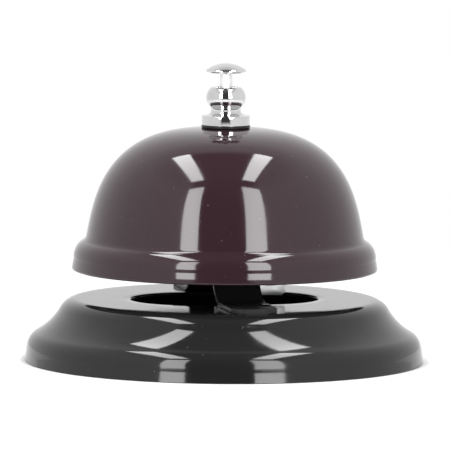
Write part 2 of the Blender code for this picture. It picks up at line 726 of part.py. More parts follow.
def build_arm(parts, cutters):
    """The leaf rises between the lever's cheeks and turns up into a tab for the hammer."""
    path = [(ARM_LEFT, ARM_LOW_Z), (ARM_RAMP_START, ARM_LOW_Z), (ARM_RAMP_END, ARM_HIGH_Z),
            (ARM_TAB_X - ARM_SHEET, ARM_HIGH_Z), (ARM_TAB_X - ARM_SHEET, ARM_TAB_TOP)]
    arm = bent_sheet("hammer_arm", path, ARM_HALF_WIDTH, ARM_SHEET, "X", spring_steel(), parts)
    drill_arm_rivet_holes(arm, cutters)
    past_tab = ARM_TAB_X - 2.0 * ARM_SHEET + LONG_CUT / 2
    drill(arm, "hammer_shank_hole", HAMMER_SHANK_RADIUS + HOLE_CLEARANCE,
          (past_tab, 0.0, HAMMER_Z), ALONG_X, cutters)
    return arm


def build_arm_rivets(parts):
    outline = rivet_outline(ARM_RIVET_SHANK, ARM_RIVET_HEAD, ARM_RIVET_HEAD_HEIGHT,
                            ARM_LOW_Z + REST_GAP, LEVER_BOTTOM - REST_GAP)
    rivets = []
    for name, x in ARM_RIVET_SPOTS.items():
        rivet = turned(name, outline, False, zinc_plate(), parts, RIVET_SEGMENTS)
        rivet.location = (x, 0.0, 0.0)
        rivets.append(rivet)
    return rivets


def build_hammer(parts):
    """Turned upright and laid along X: slug, then the shank and its peened end."""
    peen_end = HAMMER_PEEN_X + HAMMER_PEEN_HEIGHT
    outline = [(0.0, HAMMER_OUTER_X), (HAMMER_RADIUS - HAMMER_EDGE, HAMMER_OUTER_X),
               (HAMMER_RADIUS, HAMMER_OUTER_X - HAMMER_EDGE), (HAMMER_RADIUS, HAMMER_INNER_X),
               (HAMMER_SHANK_RADIUS, HAMMER_INNER_X), (HAMMER_SHANK_RADIUS, peen_end),
               (HAMMER_PEEN_RADIUS, peen_end), (HAMMER_PEEN_RADIUS, HAMMER_PEEN_X),
               (0.0, HAMMER_PEEN_X)]
    hammer = turned("hammer_head", outline, False, zinc_plate(), parts)
    hammer.matrix_world = Matrix.Translation((0.0, 0.0, HAMMER_Z)) @ ALONG_X
    return hammer


# Assembly

def hang_on_axis(name, place, pieces):
    """Parent the pieces of a moving body to an empty on its joint's axis."""
    axis = bpy.data.objects.new(name, None)
    axis.location = place
    bpy.context.scene.collection.objects.link(axis)
    bpy.context.view_layer.update()
    for piece in pieces:
        piece.parent = axis
        piece.matrix_parent_inverse = axis.matrix_world.inverted()


def main():
    clear_scene()
    parts = new_collection("service_bell")
    cutters = new_collection("service_bell_cutters")
    build_base(parts, cutters)
    build_foot_ring(parts)
    build_bridge(parts, cutters)
    build_bridge_rivets(parts)
    build_post(parts)
    build_post_fittings(parts, cutters)
    build_bell(parts)
    build_ferrule(parts)
    build_spring(parts)
    build_pin(parts)
    build_pin_clip(parts)
    hang_on_axis("plunger_axis", (0.0, 0.0, CAP_TOP),
                 [build_cap(parts), build_rod(parts), build_plunger_clip(parts)])
    hang_on_axis("striker_axis", (PIVOT_X, 0.0, PIVOT_Z),
                 [build_lever(parts, cutters), build_arm(parts, cutters),
                  *build_arm_rivets(parts), build_hammer(parts)])
    for item in parts.objects:
        if item.type == "MESH" and item.data.polygons:
            shade_round(item)


main()
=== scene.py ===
"""Service bell: the fine surfaces, materials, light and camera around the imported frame.

Every piece is built in the frame's own metres, stands for the CAD node of the same name,
and rides on that node's body. Shapes repeat the part's driving dimensions.
"""

import json
import math

import bmesh
import bpy
from mathutils import Matrix, Vector


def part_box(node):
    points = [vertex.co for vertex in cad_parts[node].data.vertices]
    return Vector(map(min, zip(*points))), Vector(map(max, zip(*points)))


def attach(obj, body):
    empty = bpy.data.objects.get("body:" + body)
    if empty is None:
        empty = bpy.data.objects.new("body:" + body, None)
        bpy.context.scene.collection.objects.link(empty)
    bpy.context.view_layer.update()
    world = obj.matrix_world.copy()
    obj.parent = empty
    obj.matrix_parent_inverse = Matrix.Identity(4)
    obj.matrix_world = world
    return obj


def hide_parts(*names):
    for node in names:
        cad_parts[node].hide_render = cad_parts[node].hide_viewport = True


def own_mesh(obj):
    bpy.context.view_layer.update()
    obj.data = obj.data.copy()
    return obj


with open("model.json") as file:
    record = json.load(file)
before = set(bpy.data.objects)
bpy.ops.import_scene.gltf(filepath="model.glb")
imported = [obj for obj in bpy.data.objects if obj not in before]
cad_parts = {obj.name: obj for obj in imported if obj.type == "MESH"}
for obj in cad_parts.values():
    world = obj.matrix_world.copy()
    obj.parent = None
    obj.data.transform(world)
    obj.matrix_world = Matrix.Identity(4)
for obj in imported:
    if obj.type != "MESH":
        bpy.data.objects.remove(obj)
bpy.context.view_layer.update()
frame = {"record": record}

MM = 0.001
WELD = 0.000001
SHARP_ANGLE = math.radians(50)
ROUND = 192
SMALL_ROUND = 64
EDGE = 0.12 * MM
SEAT = 0.02 * MM
QUARTER = math.pi / 2
TOOL_REACH = 1.0 * MM
ALONG_X = Matrix.Rotation(QUARTER, 4, "Y")
ALONG_Y = Matrix.Rotation(QUARTER, 4, "X")

BODY_OF = {node: body for body, nodes in frame["record"]["behaviour"]["bodies"].items()
           for node in nodes}
SLOT_OF = {row["node"]: row["material_slot"] for row in frame["record"]["subparts"]}
JOINTS = {joint["name"]: joint for joint in frame["record"]["behaviour"]["joints"]}
HINGE = JOINTS["striker_swing"]["pos_m"]


def low(node):
    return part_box(node)[0]


def high(node):
    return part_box(node)[1]


# Outlines

def arc(centre, radius, start, end, steps):
    """Points of an arc, with angles in radians from the first axis."""
    points = []
    for step in range(steps + 1):
        angle = start + (end - start) * step / steps
        points.append((centre[0] + radius * math.cos(angle), centre[1] + radius * math.sin(angle)))
    return points


def rounded(outline, radius, closed=True, steps=4):
    """Round the corners of an outline. A corner takes at most 45 % of each side next to it."""
    points = [Vector(point) for point in outline]
    result = []
    for index, corner in enumerate(points):
        if not closed and index in (0, len(points) - 1):
            result.append(tuple(corner))
            continue
        before = points[index - 1] - corner
        after = points[(index + 1) % len(points)] - corner
        reach = min(radius, 0.45 * before.length, 0.45 * after.length)
        start = corner + before.normalized() * reach
        end = corner + after.normalized() * reach
        for step in range(steps + 1):
            share = step / steps
            bend = (start * (1 - share) + corner * share) * (1 - share)
            result.append(tuple(bend + (corner * (1 - share) + end * share) * share))
    return result


def offset(outline, distance):
    """The outline moved sideways, to the right of its direction."""
    result = []
    for index, point in enumerate(outline):
        before = Vector(outline[max(index - 1, 0)])
        after = Vector(outline[min(index + 1, len(outline) - 1)])
        along = (after - before).normalized()
        result.append((point[0] + along.y * distance, point[1] - along.x * distance))
    return result


# Meshes

def shade(mesh, sharp=SHARP_ANGLE):
    """Smooth shading, broken where faces meet at more than the sharp angle."""
    mesh.shade_smooth()
    mesh.set_sharp_from_angle(angle=sharp)


def mesh_object(name, shape):
    """Weld a shape's doubles, turn its faces outwards and link it as an object."""
    bmesh.ops.remove_doubles(shape, verts=shape.verts, dist=WELD)
    bmesh.ops.recalc_face_normals(shape, faces=shape.faces)
    mesh = bpy.data.meshes.new(name)
    shape.to_mesh(mesh)
    shape.free()
    shade(mesh)
    item = bpy.data.objects.new(name, mesh)
    bpy.context.scene.collection.objects.link(item)
    return item


def loft(name, rings, loop=False):
    """Skin closed rings of equal length. A loop joins last to first, else the ends are capped."""
    shape = bmesh.new()
    rows = [[shape.verts.new(point) for point in ring] for ring in rings]
    pairs = list(zip(rows, rows[1:]))
    if loop:
        pairs.append((rows[-1], rows[0]))
    count = len(rows[0])
    for first, second in pairs:
        for index in range(count):
            after = (index + 1) % count
            shape.faces.new((first[index], first[after], second[after], second[index]))
    if not loop:
        shape.faces.new(rows[0])
        shape.faces.new(rows[-1])
    return mesh_object(name, shape)


def lathe(name, outline, closed=True, segments=SMALL_ROUND):
    """Turn an outline of (radius, height) round Z. An open one begins and ends on the axis.

    It does without bmesh.ops.spin, whose faces don't come in the same order each run.
    """
    shape = bmesh.new()
    rows = []
    for step in range(segments):
        angle = math.tau * step / segments
        rows.append([shape.verts.new((radius * math.cos(angle), radius * math.sin(angle), height))
                     for radius, height in outline])
    for row, other in zip(rows, rows[1:] + rows[:1]):
        for index in range(len(outline) if closed else len(outline) - 1):
            after = (index + 1) % len(outline)
            shape.faces.new((row[index], row[after], other[after], other[index]))
    return mesh_object(name, shape)


def plate(name, outline, thickness, turn):
    """A flat outline given thickness to both sides of its plane, then turned into place."""
    item = loft(name, [[(x, y, z) for x, y in outline] for z in (-thickness / 2, thickness / 2)])
    item.data.transform(turn)
    return item


def bore_tool(radius, start, end, segments=SMALL_ROUND):
    """A cylinder round Z, to cut a bore with."""
    outline = [(0, end), (radius, end), (radius, start), (0, start)]
    return lathe("bore", outline, closed=False, segments=segments)


def combine(item, tool, operation):
    """Join or cut with a second object, which is used up."""
    change = item.modifiers.new("combine", "BOOLEAN")
    change.operation = operation
    change.solver = "EXACT"
    change.object = tool
    apply_modifiers(item)
    bpy.data.objects.remove(tool)
    return item


def apply_modifiers(item):
    """Give the object the mesh that its modifiers make."""
    bpy.context.view_layer.update()
    evaluated = item.evaluated_get(bpy.context.evaluated_depsgraph_get())
    mesh = bpy.data.meshes.new_from_object(evaluated)
    item.modifiers.clear()
    item.data = mesh
    return item


def soften(item):
    """Bevel the edges of folded or stamped sheet."""
    bevel = item.modifiers.new("edges", "BEVEL")
    bevel.width = EDGE
    bevel.segments = 2
    bevel.limit_method = "ANGLE"
    bevel.angle_limit = math.radians(35)
    apply_modifiers(item)
    shade(item.data)
    return item


def section(half_width, thickness, corner):
    """Rounded section of a strip as (across, up) points. Its upper side is at up = 0."""
    corners = [(-half_width, 0.0), (-half_width, -thickness),
               (half_width, -thickness), (half_width, 0.0)]
    return rounded(corners, corner, steps=3)


def strip(name, stations, thickness, along):
    """A strip of sheet. Stations are (distance, height, half width) of its upper side."""
    across = Vector((0, 1, 0)) if along == "X" else Vector((-1, 0, 0))
    forward = Vector((1, 0, 0)) if along == "X" else Vector((0, 1, 0))
    rings = []
    for index, (distance, height, half_width) in enumerate(stations):
        before = stations[max(index - 1, 0)]
        after = stations[min(index + 1, len(stations) - 1)]
        slope = Vector((after[0] - before[0], after[1] - before[1])).normalized()
        up = Vector((0, 0, 1)) * slope.x - forward * slope.y
        place = forward * distance + Vector((0, 0, height))
        rings.append([place + across * side + up * rise
                      for side, rise in section(half_width, thickness, EDGE)])
    return loft(name, rings)


def open_ring(name, inner, outer, thickness, opening, lift=0.0):
    """A flat ring with a gap at -X. Lift raises one end over the other, as on a split washer."""
    profile = rounded([(inner, thickness / 2), (outer, thickness / 2),
                       (outer, -thickness / 2), (inner, -thickness / 2)], EDGE, steps=2)
    steps = 48
    rings = []
    for step in range(steps + 1):
        share = step / steps
        angle = -math.pi + opening + (math.tau - 2 * opening) * share
        rise = lift * (share - 0.5)
        rings.append([(r * math.cos(angle), r * math.sin(angle), z + rise) for r, z in profile])
    return loft(name, rings)


# Materials

def node(tree, kind, **values):
    made = tree.nodes.new(kind)
    for name, value in values.items():
        made.inputs[name].default_value = value
    return made


def base_material(name, colour, roughness, metallic):
    surface = bpy.data.materials.new(name)
    surface.use_nodes = True
    tree = surface.node_tree
    shader = tree.nodes["Principled BSDF"]
    shader.inputs["Base Color"].default_value = (*colour, 1)
    shader.inputs["Roughness"].default_value = roughness
    shader.inputs["Metallic"].default_value = metallic
    return surface, tree, shader


def object_noise(tree, scale, detail, stretch=(1, 1, 1)):
    place = tree.nodes.new("ShaderNodeTexCoord")
    mapping = node(tree, "ShaderNodeMapping", Scale=stretch)
    noise = node(tree, "ShaderNodeTexNoise", Scale=scale, Detail=detail)
    tree.links.new(place.outputs["Object"], mapping.inputs["Vector"])
    tree.links.new(mapping.outputs["Vector"], noise.inputs["Vector"])
    return noise.outputs["Fac"]


def vary(tree, source, low_value, high_value, target):
    spread = node(tree, "ShaderNodeMapRange", **{"To Min": low_value, "To Max": high_value})
    spread.inputs["From Min"].default_value = 0.3
    spread.inputs["From Max"].default_value = 0.7
    tree.links.new(source, spread.inputs["Value"])
    tree.links.new(spread.outputs["Result"], target)


def tint(tree, source, first, second, shader, start=0.35, end=0.65):
    ramp = tree.nodes.new("ShaderNodeValToRGB")
    ramp.color_ramp.elements[0].position = start
    ramp.color_ramp.elements[1].position = end
    ramp.color_ramp.elements[0].color = (*first, 1)
    ramp.color_ramp.elements[1].color = (*second, 1)
    tree.links.new(source, ramp.inputs["Fac"])
    tree.links.new(ramp.outputs["Color"], shader.inputs["Base Color"])


def relief(tree, source, height, shader):
    bump = node(tree, "ShaderNodeBump", Strength=0.5, Distance=height)
    tree.links.new(source, bump.inputs["Height"])
    tree.links.new(bump.outputs["Normal"], shader.inputs["Normal"])


def enamel(name, colour, fleck, gloss):
    """Stoved enamel: faint orange peel, small roughness changes, sparse flecks of dust."""
    surface, tree, shader = base_material(name, colour, 0.1, 0.0)
    shader.inputs["Specular IOR Level"].default_value = gloss
    vary(tree, object_noise(tree, 90, 4), 0.05, 0.10, shader.inputs["Roughness"])
    tint(tree, object_noise(tree, 1500, 3), colour, fleck, shader, 0.72, 0.78)
    relief(tree, object_noise(tree, 420, 2), 0.004 * MM, shader)
    return surface


def bell_enamel():
    return enamel("bell_enamel", (0.0195, 0.0090, 0.0120), (0.10, 0.08, 0.09), 0.45)


def black_enamel():
    return enamel("black_enamel", (0.0085, 0.0085, 0.0090), (0.08, 0.08, 0.08), 0.35)


def satin_black_painted_light():
    """A duller black than the base's, for the strap and the crown washer. Its colour is painted
    lighter than the base's black, as painted light for the strap in the bell's shade.
    """
    # Painted light: about twice the base's black, lifting the strap out of the shade under the
    # bell.
    black = (0.016, 0.016, 0.016)
    surface, tree, shader = base_material("satin_black_painted_light", black, 0.3, 0.0)
    shader.inputs["Specular IOR Level"].default_value = 0.12
    vary(tree, object_noise(tree, 120, 4), 0.22, 0.34, shader.inputs["Roughness"])
    tint(tree, object_noise(tree, 1300, 3), black, (0.07, 0.07, 0.07), shader, 0.72, 0.78)
    relief(tree, object_noise(tree, 500, 3), 0.006 * MM, shader)
    return surface


def chrome():
    surface, tree, shader = base_material("chrome", (0.62, 0.62, 0.62), 0.05, 1.0)
    vary(tree, object_noise(tree, 400, 5), 0.03, 0.07, shader.inputs["Roughness"])
    tint(tree, object_noise(tree, 250, 3), (0.59, 0.59, 0.60), (0.65, 0.65, 0.65), shader)
    relief(tree, object_noise(tree, 900, 4, (1, 1, 6)), 0.001 * MM, shader)
    return surface


def zinc_plate():
    surface, tree, shader = base_material("zinc_plate", (0.79, 0.80, 0.80), 0.4, 1.0)
    vary(tree, object_noise(tree, 700, 6), 0.36, 0.46, shader.inputs["Roughness"])
    tint(tree, object_noise(tree, 300, 4), (0.76, 0.77, 0.78), (0.83, 0.83, 0.82), shader)
    relief(tree, object_noise(tree, 1600, 3, (1, 8, 1)), 0.002 * MM, shader)
    return surface


def spring_steel():
    surface, tree, shader = base_material("spring_steel", (0.30, 0.31, 0.34), 0.35, 1.0)
    vary(tree, object_noise(tree, 500, 5), 0.25, 0.45, shader.inputs["Roughness"])
    tint(tree, object_noise(tree, 220, 4), (0.24, 0.25, 0.30), (0.38, 0.36, 0.33), shader)
    relief(tree, object_noise(tree, 1500, 3, (8, 1, 1)), 0.004 * MM, shader)
    return surface


def black_rubber():
    surface, tree, shader = base_material("black_rubber", (0.015, 0.015, 0.015), 0.8, 0.0)
    vary(tree, object_noise(tree, 300, 4), 0.65, 0.9, shader.inputs["Roughness"])
    tint(tree, object_noise(tree, 260, 5), (0.010, 0.010, 0.010), (0.028, 0.027, 0.026), shader)
    relief(tree, object_noise(tree, 1800, 4), 0.02 * MM, shader)
    return surface


def grey_fibre():
    surface, tree, shader = base_material("grey_fibre", (0.12, 0.11, 0.10), 0.75, 0.0)
    vary(tree, object_noise(tree, 600, 4), 0.6, 0.9, shader.inputs["Roughness"])
    fibres = object_noise(tree, 800, 6, (1, 4, 1))
    tint(tree, fibres, (0.09, 0.08, 0.07), (0.17, 0.16, 0.14), shader)
    relief(tree, object_noise(tree, 1400, 5, (1, 5, 1)), 0.03 * MM, shader)
    return surface


MATERIALS = {build.__name__: build() for build in (
    bell_enamel, black_enamel, satin_black_painted_light, chrome, zinc_plate, spring_steel, black_rubber,
    grey_fibre)}


LOOK_OF = {**SLOT_OF, "bridge_bracket": "satin_black_painted_light", "crown_washer": "satin_black_painted_light"}


def install(item, cad_node):
    """Give a fine piece its look, body and material slot, and hide the CAD node."""
    item.name = cad_node + "_fine"
    item.data.materials.clear()
    item.data.materials.append(MATERIALS[LOOK_OF[cad_node]])
    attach(item, BODY_OF[cad_node])
    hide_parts(cad_node)
    return item


# Base

RIM_RADIUS = 42.1 * MM
RIM_FLARE_TOP = 2.0 * MM
RIM_LEAN = math.radians(5)
RIM_ROUNDING = 0.7 * MM
SHOULDER_BOTTOM = 2.7 * MM
SHOULDER_RADIUS = 4.0 * MM
COVE_RADIUS = 14.0 * MM
SHOULDER_END = math.radians(60)
COVE_END = math.radians(30)
BASE_SHEET = 0.8 * MM
SLOT_HALF_WIDTH = 13.0 * MM
SLOT_CENTRE = 7.1 * MM


def base_side():
    """Outer side of the stamping from its flat top down: crown, cove, shoulder, flared rim."""
    top = high("base_shell").z
    shoulder_rise = SHOULDER_RADIUS * math.sin(SHOULDER_END)
    cove_rise = COVE_RADIUS * (math.sin(SHOULDER_END) - math.sin(COVE_END))
    crown_radius = (top - SHOULDER_BOTTOM - shoulder_rise - cove_rise) / (1 - math.sin(COVE_END))
    shoulder = (RIM_RADIUS - SHOULDER_RADIUS, SHOULDER_BOTTOM)
    reach = SHOULDER_RADIUS + COVE_RADIUS
    cove = (shoulder[0] + reach * math.cos(SHOULDER_END),
            shoulder[1] + reach * math.sin(SHOULDER_END))
    reach = COVE_RADIUS + crown_radius
    crown = (cove[0] - reach * math.cos(COVE_END), cove[1] - reach * math.sin(COVE_END))
    side = arc(crown, crown_radius, QUARTER, COVE_END, 14)
    side += arc(cove, COVE_RADIUS, math.pi + COVE_END, math.pi + SHOULDER_END, 14)[1:]
    side += arc(shoulder, SHOULDER_RADIUS, SHOULDER_END, RIM_LEAN, 12)[1:]
    flare = (RIM_RADIUS + (side[-1][1] - RIM_FLARE_TOP) * math.tan(RIM_LEAN), RIM_FLARE_TOP)
    rim = [side[-1], flare, (high("base_shell").x, low("base_shell").z)]
    return side[:-1] + rounded(rim, RIM_ROUNDING, closed=False)


def slot_radius(angle):
    """Distance from the axis to the edge of the obround slot."""
    across = abs(math.sin(angle))
    if across > 0 and SLOT_HALF_WIDTH * abs(math.cos(angle)) / across <= SLOT_CENTRE:
        return SLOT_HALF_WIDTH / across
    end = math.sqrt(SLOT_HALF_WIDTH ** 2 - (SLOT_CENTRE * across) ** 2)
    return SLOT_CENTRE * abs(math.cos(angle)) + end


def build_base():
    """Rings go out over the top from the slot, down the side, and back underneath.

    A row is (kind, value, height). The value of a "slot" row is its gap from the slot's
    edge, of a "blend" row its share of the way to the crown, of a "circle" row its radius.
    """
    outer = base_side()
    inner = [(r, max(z, outer[-1][1])) for r, z in offset(outer, BASE_SHEET)]
    top = high("base_shell").z
    lip = BASE_SHEET / 2
    flat = [step / 6 for step in range(1, 6)]
    rows = [("slot", lip - lip * math.sin(angle), top - lip + lip * math.cos(angle))
            for angle in [math.pi * (1 - step / 8) for step in range(9)]]
    rows += [("blend", share, top) for share in flat]
    rows += [("circle", r, z) for r, z in outer + inner[::-1]]
    rows += [("blend", share, top - BASE_SHEET) for share in flat[::-1]]
    rings = []
    for kind, value, z in rows:
        ring = []
        for step in range(ROUND):
            angle = math.tau * step / ROUND
            edge = slot_radius(angle)
            if kind == "slot":
                radius = edge + value
            elif kind == "blend":
                radius = (edge + lip) * (1 - value) + outer[0][0] * value
            else:
                radius = value
            ring.append((radius * math.cos(angle), radius * math.sin(angle), z))
        rings.append(ring)
    install(loft("base_shell_fine", rings, loop=True), "base_shell")


def build_foot_ring():
    """Rubber ring with two grooves in the face it stands on."""
    outer = high("foot_ring").x
    top = high("foot_ring").z
    inner = 38.6 * MM
    groove = 0.35 * MM
    width = (outer - inner) / 5
    face = []
    for band in range(5):
        depth = groove if band % 2 else 0.0
        face += [(outer - band * width, depth), (outer - (band + 1) * width, depth)]
    outline = [(outer, top)] + face + [(inner, top)]
    install(lathe("foot_ring_fine", rounded(outline, EDGE, steps=2), segments=ROUND), "foot_ring")


# Bridge

STRAP_HALF_WIDTH = 5.0 * MM
FOOT_END_Y = 31.3 * MM
FOOT_CORNER = 3.0 * MM
LEG_START_Y = 18.0 * MM
LEG_RADIUS = 7.0 * MM
BEND_RADIUS = 3.5 * MM
STRAP_SHEET = 1.0 * MM
EAR_SHEET = 0.8 * MM
EAR_RADIUS = 1.7 * MM
EAR_MIDDLE_Y = 3.0 * MM
TONGUE_HALF_WIDTH = 3.6 * MM
FOOT_TOP = 14.32 * MM
TUCK = WELD * 10


def strap_half_width(distance):
    """Half width of the strap in plan: straight, with rounded corners at its ends."""
    past = max(abs(distance) - FOOT_END_Y + FOOT_CORNER, 0.0)
    return STRAP_HALF_WIDTH - FOOT_CORNER + math.sqrt(max(FOOT_CORNER ** 2 - past ** 2, 0.0))


def strap_stations():
    """The strap from its front end to its rear: flat foot, coved leg, bend, and back down."""
    top = high("bridge_bracket").z
    steep = math.acos(1 - (top - FOOT_TOP) / (LEG_RADIUS + BEND_RADIUS))
    corner = arc((FOOT_CORNER - FOOT_END_Y, FOOT_TOP), FOOT_CORNER, math.pi, QUARTER, 12)
    foot = [(y, FOOT_TOP) for y, _ in corner]
    leg = arc((-LEG_START_Y, FOOT_TOP + LEG_RADIUS), LEG_RADIUS, -QUARTER, steep - QUARTER, 30)
    bend_y = leg[-1][0] + BEND_RADIUS * math.sin(steep)
    bend = arc((bend_y, top - BEND_RADIUS), BEND_RADIUS, QUARTER + steep, QUARTER, 8)[1:]
    half = foot + leg + bend
    path = half + [(-y, z) for y, z in reversed(half)]
    return [(y, z, strap_half_width(y)) for y, z in path]


def build_bridge():
    """Strap with a tongue to the right and two ears below, bored for the post.

    The tongue lies a hair inside the strap, so that no two faces of the union coincide.
    """
    top = high("bridge_bracket").z
    end = high("bridge_bracket").x
    bridge = strip("bridge_bracket_fine", strap_stations(), STRAP_SHEET, "Y")
    tongue = strip("tongue", [(STRAP_HALF_WIDTH - 2 * MM, top - TUCK, TONGUE_HALF_WIDTH),
                              (end, top - TUCK, TONGUE_HALF_WIDTH)],
                   STRAP_SHEET - 2 * TUCK, "X")
    combine(bridge, tongue, "UNION")
    x, _, z = HINGE
    ear = arc((x, z), EAR_RADIUS, math.pi, math.tau, 24)
    ear += [(x + EAR_RADIUS, top - STRAP_SHEET / 2), (x - EAR_RADIUS, top - STRAP_SHEET / 2)]
    for side in (-EAR_MIDDLE_Y, EAR_MIDDLE_Y):
        lug = plate("ear", ear, EAR_SHEET, Matrix.Translation((0, side, 0)) @ ALONG_Y)
        combine(bridge, soften(lug), "UNION")
    bore = bore_tool(FITTING_BORE, top - 2 * TOOL_REACH, top + TOOL_REACH)
    combine(bridge, bore, "DIFFERENCE")
    shade(bridge.data)
    install(bridge, "bridge_bracket")


BRIDGE_RIVET_SHANK = 0.9 * MM
BRIDGE_RIVET_RISE = 0.25 * MM
ARM_RIVET_SHANK = 0.55 * MM
ARM_RIVET_RISE = 0.45 * MM
TAIL_TAPER = 0.85


def domed_rivet(cad_node, shank, upper, lower, rise):
    """A rivet along Z: a round head that sits at upper, and a flat tail that holds from lower.

    Its shank runs through the sheets, which have no hole of their own for it.
    """
    bottom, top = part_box(cad_node)
    head = (top.x - bottom.x) / 2
    outline = [(head * math.sin(QUARTER * step / 8), upper + rise * math.cos(QUARTER * step / 8))
               for step in range(9)]
    tail = [(head, upper), (shank, upper), (shank, lower), (head, lower),
            (head * TAIL_TAPER, lower - rise)]
    outline += rounded(tail, EDGE, closed=False, steps=3)[1:] + [(0, lower - rise)]
    item = lathe(cad_node, outline, closed=False, segments=32)
    item.data.transform(Matrix.Translation(((top.x + bottom.x) / 2, (top.y + bottom.y) / 2, 0)))
    install(item, cad_node)


def build_rivets():
    under_top = high("base_shell").z - BASE_SHEET - SEAT
    for cad_node in [name for name in SLOT_OF if name.startswith("bridge_rivet")]:
        domed_rivet(cad_node, BRIDGE_RIVET_SHANK, FOOT_TOP + SEAT, under_top, BRIDGE_RIVET_RISE)
    on_leaf = low("hammer_arm").z + ARM_SHEET + SEAT
    under_lever = low("striker_lever").z - SEAT
    for cad_node in ("arm_rivet_inner", "arm_rivet_outer"):
        domed_rivet(cad_node, ARM_RIVET_SHANK, on_leaf, under_lever, ARM_RIVET_RISE)


# Post and fittings

POST_RADIUS = 2.2 * MM
POST_BORE = 1.6 * MM
POST_LOWER_BORE = 1.15 * MM
POST_LAND = 0.2 * MM
SPRING_SEAT_Z = 30.0 * MM
COLLAR_TOP = 25.35 * MM
COLLAR_BOTTOM = 24.25 * MM
THREAD_PITCH = 0.7 * MM
THREAD_DEPTH = 0.22 * MM
FITTING_BORE = 2.45 * MM
NUT_CHAMFER = 0.45 * MM
NUT_SHARP = math.radians(25)
LOCK_WASHER_SHEET = 0.4 * MM
LOCK_WASHER_LIFT = 0.1 * MM
LOCK_WASHER_OPENING = math.radians(4)


def threaded(radius, angle, z, start, end):
    """Radius of a helical thread that runs out towards both of its ends."""
    turn = (z / THREAD_PITCH - angle / math.tau) % 1.0
    fade = min(1.0, (z - start) / THREAD_PITCH, (end - z) / THREAD_PITCH)
    return radius - THREAD_DEPTH * max(fade, 0.0) * abs(2 * turn - 1)


def thread_levels(start, end):
    """Heights of the rings of a thread, six to a turn."""
    count = round((end - start) / THREAD_PITCH * 6)
    return [start + (end - start) * step / count for step in range(count + 1)]


def build_post():
    """Hollow post from its top down: upper thread, collar, lower thread, then up the bore."""
    bottom = low("centre_post").z
    top = high("centre_post").z
    collar = high("centre_post").x
    rows = [(POST_BORE, top, None), (POST_BORE + POST_LAND, top, None)]
    rows += [(POST_RADIUS, z, (COLLAR_TOP, top)) for z in reversed(thread_levels(COLLAR_TOP, top))]
    rows += [(r, z, None) for r, z in rounded(
        [(POST_RADIUS, COLLAR_TOP), (collar, COLLAR_TOP), (collar, COLLAR_BOTTOM),
         (POST_RADIUS, COLLAR_BOTTOM)], EDGE, closed=False)[1:-1]]
    rows += [(POST_RADIUS, z, (bottom, COLLAR_BOTTOM))
             for z in reversed(thread_levels(bottom, COLLAR_BOTTOM))]
    rows += [(POST_LOWER_BORE, bottom, None), (POST_LOWER_BORE, SPRING_SEAT_Z, None),
             (POST_BORE, SPRING_SEAT_Z, None)]
    rings = []
    for radius, z, thread in rows:
        ring = []
        for step in range(SMALL_ROUND):
            angle = math.tau * step / SMALL_ROUND
            r = threaded(radius, angle, z, *thread) if thread else radius
            ring.append((r * math.cos(angle), r * math.sin(angle), z))
        rings.append(ring)
    install(loft("centre_post_fine", rings, loop=True), "centre_post")


def build_nut(cad_node):
    """Hexagon with its corners turned off at both faces, and a plain bore."""
    bottom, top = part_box(cad_node)
    radius = top.x
    hexagon = arc((0, 0), radius, 0, math.tau, 6)[:-1]
    lift = Matrix.Translation((0, 0, (bottom.z + top.z) / 2))
    nut = plate(cad_node, hexagon, top.z - bottom.z, lift)
    flat = radius * math.cos(math.pi / 6)
    past = TOOL_REACH / 10
    turning = [(0, top.z + past), (flat, top.z + past), (flat, top.z),
               (radius + EDGE, top.z - NUT_CHAMFER), (radius + EDGE, bottom.z + NUT_CHAMFER),
               (flat, bottom.z), (flat, bottom.z - past), (0, bottom.z - past)]
    combine(nut, lathe("turning", turning, closed=False), "INTERSECT")
    bore = bore_tool(FITTING_BORE, bottom.z - TOOL_REACH, top.z + TOOL_REACH)
    combine(nut, bore, "DIFFERENCE")
    shade(nut.data, NUT_SHARP)
    install(nut, cad_node)


def build_washer(cad_node, lower, upper):
    radius = high(cad_node).x
    outline = [(radius, upper), (radius, lower), (FITTING_BORE, lower), (FITTING_BORE, upper)]
    install(lathe(cad_node, rounded(outline, EDGE * 1.3, steps=4)), cad_node)


def build_lock_washer():
    bottom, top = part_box("post_lock_washer")
    item = open_ring("post_lock_washer", FITTING_BORE, top.x, LOCK_WASHER_SHEET,
                     LOCK_WASHER_OPENING, LOCK_WASHER_LIFT)
    item.data.transform(Matrix.Translation((0, 0, (bottom.z + top.z) / 2)))
    install(item, "post_lock_washer")


# Bell and ferrule

NECK_RADIUS = 29.5 * MM
NECK_Z = 26.7 * MM
DOME_EXPONENT = 3.0
DOME_TAPER = 4.2 * MM
BELL_SHEET = 0.9 * MM
BELL_HOLE = 2.7 * MM
BELL_FILLET = 1.6 * MM
BELL_FLARE = math.radians(60)
BAND_RADIUS = 32.2 * MM
LIP_TOP = 21.9 * MM
LIP_ROUNDING = 0.15 * MM
DOME_STEPS = 90


